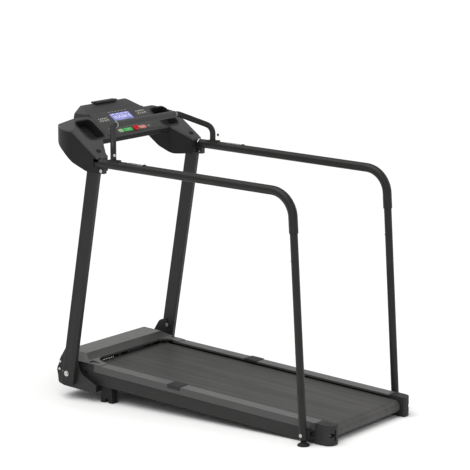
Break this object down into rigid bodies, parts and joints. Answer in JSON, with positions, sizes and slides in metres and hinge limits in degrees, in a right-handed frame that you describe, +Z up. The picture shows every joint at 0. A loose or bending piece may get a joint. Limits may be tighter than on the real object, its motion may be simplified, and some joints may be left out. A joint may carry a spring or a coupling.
{
  "type": "treadmill",
  "caption": "Walking treadmill with a sloping belt deck, low motor hood, leaning uprights, tray console, foam cross bar and full-length side handrails.",
  "frame": {"origin": "on the floor, at the middle of the overall length and width", "axes": "+X across to the right-hand handrail for a person facing the console, +Y towards the console, +Z up"},
  "size_m": [0.742, 1.432, 1.251],
  "materials": {
    "powder_black": "fine satin powder coat",
    "rail_paint": "satin black paint",
    "deck_steel": "dark grey paint",
    "foot_rail_plastic": "satin grey with fine grain",
    "black_plastic": "fine moulded grain",
    "hood_grey": "satin grey with fine grain",
    "console_plastic": "fine moulded grain",
    "shell_plastic": "fine moulded grain",
    "panel_overlay": "satin film",
    "lcd_glass": "lit display window",
    "belt_fabric": "fine diamond texture",
    "board_wood": "waxed fibreboard",
    "black_rubber": "matt",
    "foam": "soft closed-cell foam",
    "bright_steel": "bright zinc",
    "roller_steel": "ground steel",
    "cast_flywheel": "machined",
    "motor_paint": "enamel",
    "board_green": "circuit board",
    "alu_cast": "bare",
    "key_green": "moulded",
    "key_red": "moulded",
    "key_grey": "moulded",
    "safety_red": "moulded"
  },
  "bodies": {
    "frame": {"deck_rail_right": "deck_steel", "deck_rail_left": "deck_steel", "deck_crossmembers": "deck_steel", "deck_cushions": "black_rubber", "running_board": "board_wood", "running_belt": "belt_fabric", "foot_rail_right": "foot_rail_plastic", "foot_rail_left": "foot_rail_plastic", "rail_clips": "black_plastic", "end_cap_right": "black_plastic", "end_cap_left": "black_plastic", "roller_axles": "bright_steel", "belt_adjusters": "bright_steel", "motor_housing": "motor_paint", "motor_mount": "powder_black", "drive_belt": "black_rubber", "motor_controller": "board_green", "motor_hood": "hood_grey", "belly_pan": "black_plastic", "power_inlet": "black_plastic", "base_plate_right": "powder_black", "base_plate_left": "powder_black", "base_crossbeam": "powder_black", "rubber_feet": "black_rubber", "upright_right": "powder_black", "upright_left": "powder_black", "frame_bolts": "bright_steel", "handrail_right": "rail_paint", "handrail_left": "rail_paint", "rail_leg_right": "rail_paint", "rail_leg_left": "rail_paint", "rail_brackets": "powder_black", "handrail_bolts": "bright_steel", "console_cover": "console_plastic", "console_shell": "shell_plastic", "tray_right": "black_plastic", "tray_left": "black_plastic", "display_panel": "panel_overlay", "lcd_screen": "lcd_glass", "console_board": "board_green", "handlebar": "rail_paint", "foam_grip": "foam"},
    "front_roller": {"front_roller": "roller_steel", "front_bearings": "bright_steel", "roller_pulley": "alu_cast"},
    "rear_roller": {"rear_roller": "roller_steel", "rear_bearings": "bright_steel"},
    "motor_rotor": {"motor_rotor": "bright_steel", "flywheel": "cast_flywheel"},
    "wheel_right": {"transport_wheel_right": "black_rubber"},
    "wheel_left": {"transport_wheel_left": "black_rubber"},
    "foot_right": {"levelling_foot_right": "black_rubber"},
    "foot_left": {"levelling_foot_left": "black_rubber"},
    "start_key": {"start_key": "key_green"},
    "stop_key": {"stop_key": "key_red"},
    "speed_up_key": {"speed_up_key": "key_grey"},
    "speed_down_key": {"speed_down_key": "key_grey"},
    "safety_key": {"safety_key": "safety_red"},
    "tablet_clip": {"tablet_clip": "black_plastic"},
    "power_rocker": {"power_switch": "key_red"}
  },
  "joints": [
    {"name": "motor_spin", "type": "hinge", "parent": "frame", "child": "motor_rotor", "pos_m": [0.15, 0.62952, 0.12252], "axis": [1, 0, 0], "continuous": true},
    {"name": "front_roller_spin", "type": "hinge", "parent": "frame", "child": "front_roller", "pos_m": [0, 0.54652, 0.1199], "axis": [1, 0, 0], "continuous": true},
    {"name": "rear_roller_spin", "type": "hinge", "parent": "frame", "child": "rear_roller", "pos_m": [0, -0.66807, 0.04349], "axis": [1, 0, 0], "continuous": true},
    {"name": "wheel_right_spin", "type": "hinge", "parent": "frame", "child": "wheel_right", "pos_m": [0.3145, 0.65, 0.115], "axis": [1, 0, 0], "continuous": true},
    {"name": "wheel_left_spin", "type": "hinge", "parent": "frame", "child": "wheel_left", "pos_m": [-0.3145, 0.65, 0.115], "axis": [1, 0, 0], "continuous": true},
    {"name": "foot_right_screw", "type": "slide", "parent": "frame", "child": "foot_right", "axis": [0, -0.061, -0.9981], "range_m": [0, 0.01]},
    {"name": "foot_left_screw", "type": "slide", "parent": "frame", "child": "foot_left", "axis": [0, -0.061, -0.9981], "range_m": [0, 0.01]},
    {"name": "power_rocker_tilt", "type": "hinge", "parent": "frame", "child": "power_rocker", "pos_m": [-0.16, 0.68344, 0.07782], "axis": [1, 0, 0], "range_deg": [0, 14]},
    {"name": "safety_key_pull", "type": "slide", "parent": "frame", "child": "safety_key", "axis": [0, -0.5976, 0.8018], "range_m": [0, 0.03]},
    {"name": "tablet_clip_slide", "type": "slide", "parent": "frame", "child": "tablet_clip", "axis": [0, 0, 1], "range_m": [0, 0.024], "stiffness_N_per_m": 120, "springref_m": -0.01},
    {"name": "start_key_press", "type": "slide", "parent": "frame", "child": "start_key", "axis": [0, 0.5976, -0.8018], "range_m": [0, 0.0015], "stiffness_N_per_m": 400, "springref_m": -0.001},
    {"name": "stop_key_press", "type": "slide", "parent": "frame", "child": "stop_key", "axis": [0, 0.5976, -0.8018], "range_m": [0, 0.0015], "stiffness_N_per_m": 400, "springref_m": -0.001},
    {"name": "speed_up_key_press", "type": "slide", "parent": "frame", "child": "speed_up_key", "axis": [0, 0.5976, -0.8018], "range_m": [0, 0.0015], "stiffness_N_per_m": 400, "springref_m": -0.001},
    {"name": "speed_down_key_press", "type": "slide", "parent": "frame", "child": "speed_down_key", "axis": [0, 0.5976, -0.8018], "range_m": [0, 0.0015], "stiffness_N_per_m": 400, "springref_m": -0.001}
  ],
  "couplings": [
    {"joint": "front_roller_spin", "follows": "motor_spin", "ratio": 0.30556},
    {"joint": "rear_roller_spin", "follows": "motor_spin", "ratio": 0.30556}
  ]
}
